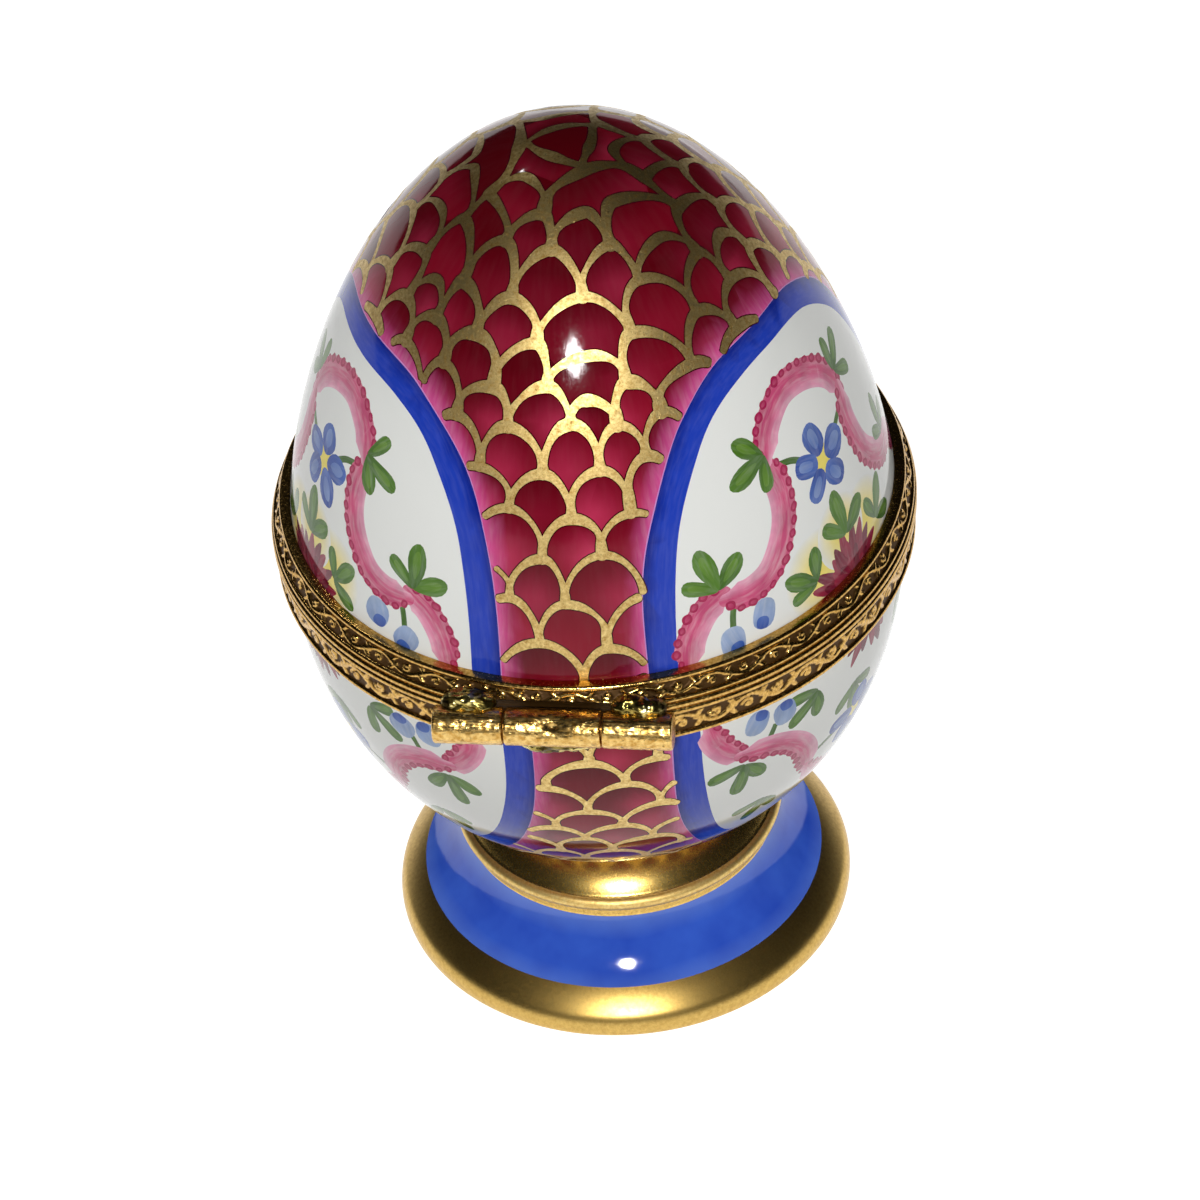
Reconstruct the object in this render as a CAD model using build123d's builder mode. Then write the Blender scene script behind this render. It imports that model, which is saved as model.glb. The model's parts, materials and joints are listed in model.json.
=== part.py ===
"""Footed egg box: a porcelain lid and cup in two brass bezels, hinged at the back, on a moulded foot.

Millimetres, +Z up. The origin is the centre of the foot on the table, the hinge is on -Y and the clasp on +Y.
"""

import math
import os

from build123d import *

# Porcelain egg: both halves follow a power curve from the seam
lid_step = 0.7
lid_height = 34.4
lid_rise = 1.57
cup_radius = 24.2
cup_height = 28.8
cup_flat = 1.6
cup_rise = 2.35
porcelain_wall = 2.5
cup_floor = 2.6
curve_points = 10
tangent_step = 0.01

# Porcelain foot, from the rim on the table up to the seat of the cup
foot_radius = 18.6
foot_rim_height = 1.2
foot_rim_roll = 0.35
footring_inset = 0.7
footring_width = 2.0
base_slope_run = 1.89
base_slope_rise = 2.45
base_slope_bow = 0.12
flare_run = 3.58
flare_rise = 4.51
flare_bow = 0.45
collar_height = 0.9
lip_height = 1.15
lip_stand = 0.57
waist_rise = 2.39
waist_bow = 0.6
recess_wall = 2.6
recess_roof = 3.6

# Brass bezels, as channels that the porcelain rims are bedded in
bezel_stand = 0.8
bezel_fit = 0.06
bezel_web = 0.6
flange_wall = 0.5
flange_fit = 0.15
flange_height = 2.2
cement_bed = 0.2
ridge_radius = 0.3
line_ridge = 0.15
line_ridge_height = 0.4
upper_bezel_height = 2.6
roll_stand = 0.45
roll_radius = 0.25
lower_bezel_height = 3.0
band_depth = 0.4
hem_radius = 0.25
seam_clearance = 0.1

# Barrel hinge, let into the bezels at the back
barrel_radius = 1.45
barrel_inset = 0.8
centre_knuckle_length = 7.2
outer_knuckle_length = 5.2
knuckle_gap = 0.1
knuckle_round = 0.15
hinge_gap = 0.5
hinge_end_gap = 0.5
pin_radius = 0.6
pin_clearance = 0.04
stake_depth = 0.5
stake_radius = 0.55
solder_radius = 1.2
solder_margin = 0.5
solder_round = 0.6

# Clasp opposite the hinge
tongue_width = 6.4
tongue_top = 1.7
tongue_drop = 3.6
tongue_corner = 1.4
tongue_wall = 0.85
tongue_gap = 0.25
thumb_reach = 2.1
thumb_rise = 1.3
bead_radius = 0.75
bead_sink = 0.2
bead_drop = 1.55
bead_clearance = 0.2

# Heights above the table that follow from the sizes above
slope_top_height = foot_rim_height + base_slope_rise
flare_top_height = slope_top_height + flare_rise
collar_top_height = flare_top_height + collar_height
lip_top_height = collar_top_height + lip_height
seat_height = lip_top_height + waist_rise
seam_height = seat_height + cup_height

# Places that follow from the sizes above
lid_radius = cup_radius - lid_step
ring_radius = max(lid_radius, cup_radius) + bezel_stand
rim_lift = bezel_web + cement_bed
hinge_y = -(ring_radius + barrel_radius - barrel_inset)
groove_radius = barrel_radius + hinge_gap
hinge_length = centre_knuckle_length + 2 * (knuckle_gap + outer_knuckle_length)
groove_length = hinge_length + 2 * hinge_end_gap
outer_knuckle_x = (hinge_length - outer_knuckle_length) / 2


def even_shares(first=0.0):
    """Even steps along an outline, from first to 1."""
    return [first + (1 - first) * step / curve_points for step in range(curve_points + 1)]


def lid_share(height, inset=0.0):
    """How far along the lid's outline a height above the seam lies."""
    return math.asin(height / (lid_height - inset)) * 2 / math.pi


def lid_point(share, inset=0.0):
    """A point of the lid's outline, share 0 at the seam and 1 at the crown, taken in by inset."""
    rise = math.sin(share * math.pi / 2)
    radius = (lid_radius - inset) * math.sqrt(max(0.0, 1 - rise**lid_rise))
    return Vector(radius, seam_height + (lid_height - inset) * rise)


def cup_width(drop, closing, inset=0.0):
    """The cup's radius at a drop below the seam, on a curve that closes at closing."""
    return (cup_radius - inset) * math.sqrt(max(0.0, 1 - (drop / closing) ** cup_rise))


def cup_point(share, lowest, closing, inset=0.0):
    """A point of the cup's outline, share 0 at its rim and 1 at the drop lowest."""
    drop = rim_lift + (lowest - rim_lift) * math.sin(share * math.pi / 2)
    return Vector(cup_width(drop, closing, inset), seam_height - drop)


def hinge_cylinder(radius, length, centre_x=0.0, mode=Mode.ADD):
    """A cylinder on the hinge axis."""
    with Locations(Location((centre_x, hinge_y, seam_height), (0, 90, 0))):
        return Cylinder(radius, length, mode=mode)


# Painted upper half of the egg, open at the rim
crown_tangent = Vector(-1, 0)
rim_share = lid_share(rim_lift)
bore_share = lid_share(rim_lift, porcelain_wall)
lid_rim = lid_point(rim_share)
lid_bore = lid_point(bore_share, porcelain_wall)
with BuildPart() as lid_shell:
    with BuildSketch(Plane.XZ):
        with BuildLine():
            lid_outside = Spline(
                *[lid_point(share) for share in even_shares(rim_share)],
                tangents=[lid_point(rim_share + tangent_step) - lid_rim, crown_tangent],
            )
            lid_inside = Spline(
                *[lid_point(share, porcelain_wall) for share in even_shares(bore_share)],
                tangents=[lid_point(bore_share + tangent_step, porcelain_wall) - lid_bore, crown_tangent],
            )
            Line(lid_rim, lid_bore)
            Line(lid_outside @ 1, lid_inside @ 1)
        make_face()
    revolve(axis=Axis.Z)

# Painted lower half of the egg, cut flat where it stands on the foot
cup_closing = cup_height + cup_flat
bore_depth = cup_height - cup_floor
cup_rim = cup_point(0, cup_height, cup_closing)
cup_bore = cup_point(0, bore_depth, bore_depth, porcelain_wall)
cup_seat = cup_point(1, cup_height, cup_closing)
with BuildPart() as lower_cup:
    with BuildSketch(Plane.XZ):
        with BuildLine():
            Spline(
                *[cup_point(share, cup_height, cup_closing) for share in even_shares()],
                tangents=[
                    cup_point(tangent_step, cup_height, cup_closing) - cup_rim,
                    cup_point(1, cup_height + tangent_step, cup_closing) - cup_seat,
                ],
            )
            cup_inside = Spline(
                *[cup_point(share, bore_depth, bore_depth, porcelain_wall) for share in even_shares()],
                tangents=[
                    cup_point(tangent_step, bore_depth, bore_depth, porcelain_wall) - cup_bore,
                    crown_tangent,
                ],
            )
            Line(cup_rim, cup_bore)
            Polyline(cup_inside @ 1, (0, seat_height), cup_seat)
        make_face()
    revolve(axis=Axis.Z)

# Moulded foot: rounded rim, sloping base, flare, lip bead and rounded waist, hollow underneath
footring_outer = foot_radius - footring_inset
footring_inner = footring_outer - footring_width
rim_top = Vector(foot_radius - foot_rim_roll, foot_rim_height)
slope_top = Vector(rim_top.X - base_slope_run, slope_top_height)
flare_top = Vector(slope_top.X - flare_run, flare_top_height)
collar_top = Vector(flare_top.X, collar_top_height)
lip_edge = Vector(flare_top.X + lip_stand, collar_top_height + lip_height / 2)
lip_top = Vector(flare_top.X, lip_top_height)
recess_top = seat_height - recess_roof
recess_shoulder = flare_top.X - recess_wall
with BuildPart() as pedestal_foot:
    with BuildSketch(Plane.XZ):
        with BuildLine():
            Line((footring_inner, 0), (footring_outer, 0))
            ThreePointArc((footring_outer, 0), (foot_radius, foot_rim_height / 2), rim_top)
            SagittaArc(rim_top, slope_top, -base_slope_bow)
            SagittaArc(slope_top, flare_top, flare_bow)
            Line(flare_top, collar_top)
            ThreePointArc(collar_top, lip_edge, lip_top)
            SagittaArc(lip_top, cup_seat, -waist_bow)
            Polyline(cup_seat, (0, seat_height), (0, recess_top), (recess_shoulder, recess_top))
            SagittaArc((recess_shoulder, recess_top), (footring_inner, 0), -flare_bow)
        make_face()
    revolve(axis=Axis.Z)

# Lid mount: ridge at the seam, fine line, leaning band and a roll against the porcelain
ridge_foot = ring_radius - ridge_radius
ridge_height = 2 * ridge_radius
upper_ridge_top = seam_height + ridge_height
band_foot = Vector(ridge_foot - line_ridge, upper_ridge_top + line_ridge_height)
upper_bezel_top = seam_height + upper_bezel_height
roll_top = Vector(lid_radius + roll_stand, upper_bezel_top)
roll_foot = roll_top - Vector(0, 2 * roll_radius)
upper_bore = lid_radius + bezel_fit
upper_lap = lid_point(lid_share(upper_bezel_height)).X + bezel_fit
upper_flange = lid_point(lid_share(flange_height, porcelain_wall), porcelain_wall).X - flange_fit
with BuildPart() as upper_bezel:
    with BuildSketch(Plane.XZ):
        with BuildLine():
            Line((upper_flange - flange_wall, seam_height), (ridge_foot, seam_height))
            ThreePointArc(
                (ridge_foot, seam_height),
                (ring_radius, seam_height + ridge_radius),
                (ridge_foot, upper_ridge_top),
            )
            ThreePointArc(
                (ridge_foot, upper_ridge_top),
                (ring_radius - line_ridge, upper_ridge_top + line_ridge_height / 2),
                band_foot,
            )
            Line(band_foot, roll_foot)
            ThreePointArc(roll_foot, roll_top + Vector(roll_radius, -roll_radius), roll_top)
            Polyline(
                roll_top,
                (upper_lap, upper_bezel_top),
                (upper_bore, seam_height + bezel_web),
                (upper_flange, seam_height + bezel_web),
                (upper_flange, seam_height + flange_height),
                (upper_flange - flange_wall, seam_height + flange_height),
                (upper_flange - flange_wall, seam_height),
            )
        make_face()
    revolve(axis=Axis.Z)
    hinge_cylinder(groove_radius, groove_length, mode=Mode.SUBTRACT)

# Cup mount: ridge at the seam, upright band and a hem against the porcelain
lower_ridge_bottom = seam_height - ridge_height
lower_bezel_bottom = seam_height - lower_bezel_height
band_radius = ring_radius - band_depth
hem_top = lower_bezel_bottom + 2 * hem_radius
lower_bore = cup_radius + bezel_fit
lower_flange = cup_width(flange_height, bore_depth, porcelain_wall) - flange_fit
with BuildPart() as lower_bezel:
    with BuildSketch(Plane.XZ):
        with BuildLine():
            Line((lower_flange - flange_wall, seam_height), (ridge_foot, seam_height))
            ThreePointArc(
                (ridge_foot, seam_height),
                (ring_radius, seam_height - ridge_radius),
                (ridge_foot, lower_ridge_bottom),
            )
            Polyline(
                (ridge_foot, lower_ridge_bottom),
                (band_radius, lower_ridge_bottom),
                (band_radius, hem_top),
            )
            ThreePointArc(
                (band_radius, hem_top),
                (band_radius + hem_radius, lower_bezel_bottom + hem_radius),
                (band_radius, lower_bezel_bottom),
            )
            Polyline(
                (band_radius, lower_bezel_bottom),
                (lower_bore, lower_bezel_bottom),
                (lower_bore, seam_height - bezel_web),
                (lower_flange, seam_height - bezel_web),
                (lower_flange, seam_height - flange_height),
                (lower_flange - flange_wall, seam_height - flange_height),
                (lower_flange - flange_wall, seam_height),
            )
        make_face()
    revolve(axis=Axis.Z)
    hinge_cylinder(groove_radius, groove_length, mode=Mode.SUBTRACT)

# Cement beds between each bezel's web and the porcelain rim
with BuildPart() as upper_bezel_cement:
    with BuildSketch(Plane.XY.offset(seam_height + bezel_web)):
        Circle(lid_rim.X)
        Circle(lid_bore.X, mode=Mode.SUBTRACT)
    extrude(amount=cement_bed)

with BuildPart() as lower_bezel_cement:
    with BuildSketch(Plane.XY.offset(seam_height - rim_lift)):
        Circle(cup_rim.X)
        Circle(cup_bore.X, mode=Mode.SUBTRACT)
    extrude(amount=cement_bed)

# Hinge: the pin is staked in the middle barrel and turns in the outer two
with BuildPart() as hinge_pin:
    hinge_cylinder(pin_radius, hinge_length)

with BuildPart() as hinge_knuckle_centre:
    hinge_cylinder(barrel_radius, centre_knuckle_length)
    fillet(edges().filter_by(GeomType.CIRCLE), knuckle_round)
    hinge_cylinder(pin_radius, centre_knuckle_length, mode=Mode.SUBTRACT)
    stake_plane = Plane((0, hinge_y, seam_height), x_dir=(1, 0, 0), z_dir=(0, -1, 1))
    with Locations(stake_plane.offset(barrel_radius - stake_depth / 2)):
        Cone(0, stake_radius, stake_depth, mode=Mode.SUBTRACT)

outer_knuckles = {}
for side, centre_x in (("left", -outer_knuckle_x), ("right", outer_knuckle_x)):
    with BuildPart() as outer_knuckle:
        hinge_cylinder(barrel_radius, outer_knuckle_length, centre_x)
        fillet(edges().filter_by(GeomType.CIRCLE), knuckle_round)
        hinge_cylinder(pin_radius + pin_clearance, outer_knuckle_length, centre_x, mode=Mode.SUBTRACT)
    outer_knuckles[side] = outer_knuckle


def solder_lump(centre_x, knuckle_length, height, neighbours):
    """Solder that fills the corner between a knuckle and the bezel that carries it."""
    ring_y = -math.sqrt(band_radius**2 - centre_x**2)
    with BuildPart() as lump:
        with Locations(Location((centre_x, (hinge_y + ring_y) / 2, height), (0, 90, 0))):
            Cylinder(solder_radius, knuckle_length - 2 * solder_margin)
        fillet(edges().filter_by(GeomType.CIRCLE), solder_round)
        for neighbour in neighbours:
            add(neighbour.part, mode=Mode.SUBTRACT)
        hinge_cylinder(barrel_radius, hinge_length, mode=Mode.SUBTRACT)
    return lump


solder_offset = solder_radius + seam_clearance
lid_mount = [upper_bezel, upper_bezel_cement, lid_shell]
cup_mount = [lower_bezel, lower_bezel_cement, lower_cup]
solder_height = seam_height + solder_offset
hinge_solder_left = solder_lump(-outer_knuckle_x, outer_knuckle_length, solder_height, lid_mount)
hinge_solder_right = solder_lump(outer_knuckle_x, outer_knuckle_length, solder_height, lid_mount)
hinge_solder_centre = solder_lump(0, centre_knuckle_length, seam_height - solder_offset, cup_mount)

# Catch bead on the cup's bezel
bead_height = seam_height - bead_drop
bead_y = ring_radius - bead_sink
with BuildPart() as catch_bead:
    with Locations((0, bead_y, bead_height)):
        Sphere(bead_radius)
    add(lower_bezel.part, mode=Mode.SUBTRACT)
    with BuildSketch(Plane.XY.offset(lower_bezel_bottom)):
        Circle(lower_bore)
    extrude(amount=lower_bezel_height, mode=Mode.SUBTRACT)

# Clasp tongue: soldered to the lid's bezel, with a thumb lip and a track that passes over the bead
tongue_bottom = seam_height - tongue_drop
tongue_inside = ring_radius + tongue_gap
tongue_outside = tongue_inside + tongue_wall
tongue_foot = seam_height + seam_clearance
thumb_top = (tongue_outside, tongue_bottom + thumb_rise)
thumb_edge = (ring_radius + thumb_reach, tongue_bottom)
bead_track = bead_radius + bead_clearance
with BuildPart() as clasp_tongue:
    with BuildSketch(Plane.YZ):
        with BuildLine():
            Polyline(
                thumb_edge,
                (tongue_inside, tongue_bottom),
                (tongue_inside, tongue_foot),
                (upper_bore, tongue_foot),
                (upper_bore, seam_height + tongue_top),
                (tongue_outside, seam_height + tongue_top),
                thumb_top,
            )
            Spline(thumb_top, thumb_edge, tangents=[(0, -1), (1, -1)])
        make_face()
    revolve(axis=Axis.Z)
    with BuildSketch(Plane.XZ):
        with Locations((0, seam_height + (tongue_top - tongue_drop) / 2)):
            RectangleRounded(tongue_width, tongue_top + tongue_drop, tongue_corner)
    extrude(amount=-(ring_radius + thumb_reach), mode=Mode.INTERSECT)
    add(upper_bezel.part, mode=Mode.SUBTRACT)
    with BuildSketch(Plane.XZ):
        with Locations((0, bead_height)):
            Circle(bead_track)
        with Locations((0, (bead_height + tongue_bottom) / 2)):
            Rectangle(2 * bead_track, bead_height - tongue_bottom)
    extrude(amount=-(bead_y + bead_track), mode=Mode.SUBTRACT)

pieces = {
    "pedestal_foot": pedestal_foot,
    "lower_cup": lower_cup,
    "lower_bezel": lower_bezel,
    "lower_bezel_cement": lower_bezel_cement,
    "hinge_knuckle_centre": hinge_knuckle_centre,
    "hinge_pin": hinge_pin,
    "hinge_solder_centre": hinge_solder_centre,
    "catch_bead": catch_bead,
    "lid_shell": lid_shell,
    "upper_bezel": upper_bezel,
    "upper_bezel_cement": upper_bezel_cement,
    "hinge_knuckle_left": outer_knuckles["left"],
    "hinge_knuckle_right": outer_knuckles["right"],
    "hinge_solder_left": hinge_solder_left,
    "hinge_solder_right": hinge_solder_right,
    "clasp_tongue": clasp_tongue,
}
os.makedirs("parts", exist_ok=True)
for name, piece in pieces.items():
    piece.part.label = name
    export_step(piece.part, f"parts/{name}.step")
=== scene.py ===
"""Hinged porcelain egg box on a moulded foot: painted shells, chased gilt mounts, hinge and clasp.

Sizes are millimetres in the frame of the solids, and become metres when a mesh is made. Places on the egg are
given as an angle round it, in degrees from the hinge towards +X, and an arc length from the seam.
"""

import json
import math
import random
from functools import partial
from typing import NamedTuple

import bpy
import numpy as np
from mathutils import Matrix, Vector, noise
from mathutils.geometry import delaunay_2d_cdt


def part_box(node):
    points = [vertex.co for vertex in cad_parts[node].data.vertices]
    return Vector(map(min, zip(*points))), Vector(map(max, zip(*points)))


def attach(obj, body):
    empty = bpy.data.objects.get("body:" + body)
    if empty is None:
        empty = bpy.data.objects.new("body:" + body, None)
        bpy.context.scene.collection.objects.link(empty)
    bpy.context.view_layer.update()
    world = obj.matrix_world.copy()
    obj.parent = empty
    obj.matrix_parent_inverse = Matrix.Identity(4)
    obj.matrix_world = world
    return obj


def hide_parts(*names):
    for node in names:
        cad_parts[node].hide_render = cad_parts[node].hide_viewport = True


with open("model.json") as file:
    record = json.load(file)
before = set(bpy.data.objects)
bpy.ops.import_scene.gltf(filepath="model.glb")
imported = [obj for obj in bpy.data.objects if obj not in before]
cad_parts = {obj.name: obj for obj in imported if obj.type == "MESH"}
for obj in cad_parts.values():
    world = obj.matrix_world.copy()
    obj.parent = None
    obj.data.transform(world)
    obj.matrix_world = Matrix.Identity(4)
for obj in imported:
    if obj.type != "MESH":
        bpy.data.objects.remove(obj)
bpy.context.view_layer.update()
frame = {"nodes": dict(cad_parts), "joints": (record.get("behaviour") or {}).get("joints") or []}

# Sizes of the egg, as in the solids
MM = 0.001
HINGE_Y, SEAM = (place / MM for place in frame["joints"][0]["pos_m"][1:])
LID_RADIUS = 23.5
LID_HEIGHT = 34.4
LID_RISE = 1.57
CUP_RADIUS = 24.2
CUP_HEIGHT = 28.8
CUP_FLAT = 1.6
CUP_RISE = 2.35
WALL = 2.5
CUP_FLOOR = 2.6
RIM_LIFT = 0.8
RING_RADIUS = 25.0
SEAT = SEAM - CUP_HEIGHT

# Fineness of the meshes
OUTLINE_STEPS = 3000
SHELL_COLUMNS = 240
SHELL_ROWS = 40
PAINT_GRID = 1.1
GRID_TWIST = 7.3
EDGE_MARGIN = 0.4
TOLERANCE = 1e-5


def shades(*codes):
    """Linear colours of hexadecimal sRGB codes."""
    parts = np.array([list(bytes.fromhex(code)) for code in codes]) / 255
    return np.where(parts <= 0.04045, parts / 12.92, ((parts + 0.055) / 1.055) ** 2.4)


WHITE, YELLOW, GOLD = shades("E9EAE6", "F0DC66", "E2C988")
CRIMSON_DARK, CRIMSON, CRIMSON_LIGHT = shades("56040F", "8E1028", "C03458")
WASH_PINK, WASH_EDGE, OUTLINE_MAROON = shades("D8589C", "C48CCB", "3A0610")
BORDER_DARK, BORDER_BLUE = shades("10207E", "2340B6")
RIBBON_EDGE, RIBBON_PINK, RIBBON_PALE = shades("A51F4E", "C84E78", "E4A0BA")
LEAF_DARK, LEAF_GREEN, LEAF_PALE = shades("3F6420", "527A28", "668C34")
PETAL_DARK, PETAL_BLUE, PETAL_PALE, BUD_PALE = shades("2C4A9C", "4668B4", "7C94C4", "9CAECC")
MUM_DARK, MUM_RED = shades("68142C", "9C3048")


class Nodes:
    """Short-hand for the node tree of a material or of the world."""

    def __init__(self, owner, shader="Principled BSDF"):
        owner.use_nodes = True
        self.owner = owner
        self.tree = owner.node_tree
        self.shader = self.tree.nodes[shader]

    def feed(self, sockets, inputs):
        """Links outputs to sockets given by name or number, or sets constants on them."""
        for name, value in inputs.items():
            if isinstance(value, bpy.types.NodeSocket):
                self.tree.links.new(value, sockets[name])
            else:
                sockets[name].default_value = (*value, 1.0) if isinstance(value, np.ndarray) else value

    def add(self, kind, inputs=None, **settings):
        made = self.tree.nodes.new("ShaderNode" + kind)
        for name, value in settings.items():
            setattr(made, name, value)
        self.feed(made.inputs, inputs or {})
        return made

    def surface(self, **inputs):
        """Sets the shader's sockets, named with underscores, and gives what it shades."""
        self.feed(self.shader.inputs, {name.replace("_", " "): value for name, value in inputs.items()})
        return self.owner

    def math(self, operation, a, b):
        return self.add("Math", {0: a, 1: b}, operation=operation).outputs[0]

    def mix(self, share, a, b):
        return self.add("Mix", {0: share, 6: a, 7: b}, data_type="RGBA").outputs[2]

    def between(self, value, low, high, to_low=0.0, to_high=1.0):
        """Value carried from low..high to another range, held at its ends."""
        return self.add("MapRange", dict(enumerate((value, low, high, to_low, to_high)))).outputs[0]

    def place(self, scale=(1, 1, 1)):
        """The point on the object in millimetres, times scale."""
        where = self.add("TexCoord").outputs["Object"]
        return self.add("Mapping", {"Vector": where, "Scale": [axis / MM for axis in scale]}).outputs[0]

    def noise(self, scale, detail=3.0, roughness=0.55, vector=None):
        """Noise by the point on the object, or by another vector."""
        where = self.place() if vector is None else vector
        inputs = {"Vector": where, "Scale": scale, "Detail": detail, "Roughness": roughness}
        return self.add("TexNoise", inputs).outputs["Fac"]

    def bump(self, height, distance, strength=1.0):
        inputs = {"Height": height, "Distance": distance * MM, "Strength": strength}
        return self.add("Bump", inputs).outputs["Normal"]


def new_material(name):
    return Nodes(bpy.data.materials.new(name))


def enamel_material():
    """Glazed porcelain under overglaze colours, thin where the brush left streaks."""
    n = new_material("painted_porcelain")
    paint = n.add("Attribute", attribute_name="paint").outputs
    brush = n.add("Attribute", attribute_name="brush").outputs["Vector"]
    along = n.add("Mapping", {"Vector": brush, "Scale": (0.35, 2.4, 1.0)}).outputs[0]
    streak = n.between(n.noise(1.2, vector=along), 0.42, 0.75)
    thinned = n.mix(n.math("MULTIPLY", streak, paint["Alpha"]), paint["Color"], WHITE)
    cloud = n.between(n.noise(0.55, 2.0, vector=brush), 0.35, 0.65, -0.12, 0.1)
    painted = n.math("MINIMUM", n.math("MULTIPLY", paint["Alpha"], 6.0), 1.0)
    depth = n.math("ADD", n.math("MULTIPLY", cloud, painted), 1.0)
    ripple = n.noise(0.35, 2.0)
    return n.surface(
        Base_Color=n.add("VectorMath", {0: thinned, "Scale": depth}, operation="SCALE").outputs[0],
        Roughness=n.between(n.noise(4.0), 0.3, 0.7, 0.05, 0.12),
        Normal=n.bump(n.math("ADD", ripple, n.math("MULTIPLY", streak, 0.1)), 0.03, 0.5),
        Specular_IOR_Level=0.15,
    )


def glaze_material():
    """Bare white glazed porcelain, inside the box and under the foot."""
    n = new_material("white_glaze")
    speck = n.between(n.noise(1.2, 4.0), 0.3, 0.75)
    return n.surface(
        Base_Color=n.mix(speck, *shades("E9E8E3", "DCDAD2")),
        Roughness=n.between(speck, 0.0, 1.0, 0.06, 0.14),
        Normal=n.bump(n.noise(0.3, 2.0), 0.04, 0.5),
        IOR=1.52,
    )


def gilding_material(name, tones, pitted, rough, grain):
    """Brushed-on gilding: speckled, with darker pits where it is thin."""
    n = new_material(name)
    speckle = n.noise(3.2, 5.0, 0.7)
    pits = n.between(n.noise(7.0, 2.0), 0.58, 0.72)
    tone = n.mix(n.between(speckle, 0.35, 0.68), *tones)
    return n.surface(
        Base_Color=n.mix(n.math("MULTIPLY", pits, pitted), tone, *shades("4A3A12")),
        Metallic=1.0,
        Roughness=n.between(speckle, 0.3, 0.7, *rough),
        Normal=n.bump(n.math("ADD", speckle, n.math("MULTIPLY", pits, -0.5)), 0.035, grain),
    )


def foot_glaze_material():
    """Cobalt glaze on the foot, with painted light: paler towards its top and its hem."""
    n = new_material("cobalt_glaze")
    patch = n.between(n.noise(0.22), 0.35, 0.68)
    height = n.add("SeparateXYZ", {"Vector": n.place()}).outputs["Z"]
    uneven = n.math("ADD", height, n.between(n.noise(0.2, 1.0), 0.3, 0.7, -0.15, 0.15))
    # Painted reflection of the white egg above: the top of the flare turns paler
    top = n.between(uneven, 6.4, 8.3, 0.0, 0.6)
    # Paler hem: partly thinner glaze, partly a painted highlight along its edge
    hem = n.between(uneven, 4.5, 3.7, 0.0, 0.3)
    tone = n.mix(patch, *shades("3A63D6", "2C50C6"))
    return n.surface(
        Base_Color=n.mix(n.math("MAXIMUM", top, hem), tone, *shades("7394E4")),
        Roughness=n.between(n.noise(3.0), 0.3, 0.7, 0.05, 0.11),
        Normal=n.bump(n.noise(0.5, 2.0), 0.04, 0.4),
        Specular_IOR_Level=0.35,
    )


def mount_material():
    """Chased gilt brass: gilt on the relief, dark in the ground behind it as painted shade of the recesses.
    """
    n = new_material("chased_brass")
    relief = n.add("Attribute", attribute_name="relief").outputs["Fac"]
    stain = n.between(n.noise(0.9, 4.0), 0.3, 0.7, -0.25, 0.2)
    grain = n.noise(4.0, 4.0, 0.6)
    raised = n.between(n.math("ADD", relief, stain), 0.3, 0.75)
    metal = n.mix(n.between(grain, 0.35, 0.7), *shades("DCB266", "946C2E"))
    return n.surface(
        # Painted shade: where the relief is low the metal turns dark brown and less metallic
        Base_Color=n.mix(raised, *shades("4A3214"), metal),
        Metallic=n.between(raised, 0.0, 0.4, 0.5, 1.0),
        Roughness=n.between(n.math("MULTIPLY", raised, grain), 0.0, 0.6, 0.45, 0.16),
        Specular_IOR_Level=0.2,
        Normal=n.bump(grain, 0.03, 0.5),
    )


def hinge_material():
    """Hammered brass barrels, drawn along their length and darker in the pits."""
    n = new_material("worn_brass")
    grain = n.noise(2.6, 4.0, 0.6)
    drawn = n.noise(1.4, vector=n.place((0.3, 4, 4)))
    pits = n.between(n.noise(2.2), 0.6, 0.72)
    metal = n.mix(n.between(grain, 0.35, 0.65), *shades("E9C67C", "B98C42"))
    return n.surface(
        Base_Color=n.mix(n.math("MULTIPLY", pits, 0.7), metal, *shades("54380F")),
        Metallic=1.0,
        Roughness=n.between(drawn, 0.3, 0.7, 0.2, 0.38),
        Normal=n.bump(n.math("SUBTRACT", drawn, pits), 0.04, 0.5),
    )


def solder_material():
    """Old solder, tarnished greenish between bright flecks."""
    n = new_material("tarnished_solder")
    grain = n.noise(0.8, 3.0, 0.5)
    fleck = n.between(n.noise(1.3), 0.52, 0.64)
    dull = n.mix(n.between(grain, 0.38, 0.62), *shades("A08C48", "382C12"))
    return n.surface(
        Base_Color=n.mix(fleck, dull, *shades("E6D488")),
        Metallic=1.0,
        Roughness=n.between(grain, 0.3, 0.7, 0.15, 0.42),
        Normal=n.bump(grain, 0.14, 0.6),
    )


def cement_material():
    """Chalky bedding cement."""
    n = new_material("bedding_cement")
    grain = n.noise(2.5, 5.0)
    return n.surface(
        Base_Color=n.mix(grain, *shades("CFC9B8", "A8A08C")), Roughness=0.9, Normal=n.bump(grain, 0.1)
    )


def build(node, suffix, body, points, faces, materials, sharp, face_materials=None):
    """A mesh piece from millimetre points, riding on a body in place of its solid."""
    name = f"{node}_{suffix}"
    mesh = bpy.data.meshes.new(name)
    mesh.from_pydata([tuple(p) for p in points * MM], [], faces)
    for material in materials:
        mesh.materials.append(material)
    if face_materials is not None:
        mesh.polygons.foreach_set("material_index", np.asarray(face_materials, dtype=np.int32))
    mesh.polygons.foreach_set("use_smooth", np.ones(len(faces), dtype=bool))
    mesh.set_sharp_from_angle(angle=math.radians(sharp))
    piece = bpy.data.objects.new(name, mesh)
    bpy.context.scene.collection.objects.link(piece)
    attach(piece, body)
    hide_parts(node)
    return piece


def joined(*columns):
    """Numbers side by side, as the last axis of one array."""
    return np.stack(np.broadcast_arrays(*columns), axis=-1)


def round_angles(count):
    return np.arange(count) * 360 / count


def turned(radius, angle, height):
    """Points at angles in degrees round the axis."""
    angle = np.radians(angle)
    return joined(radius * np.sin(angle), -radius * np.cos(angle), height)


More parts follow.
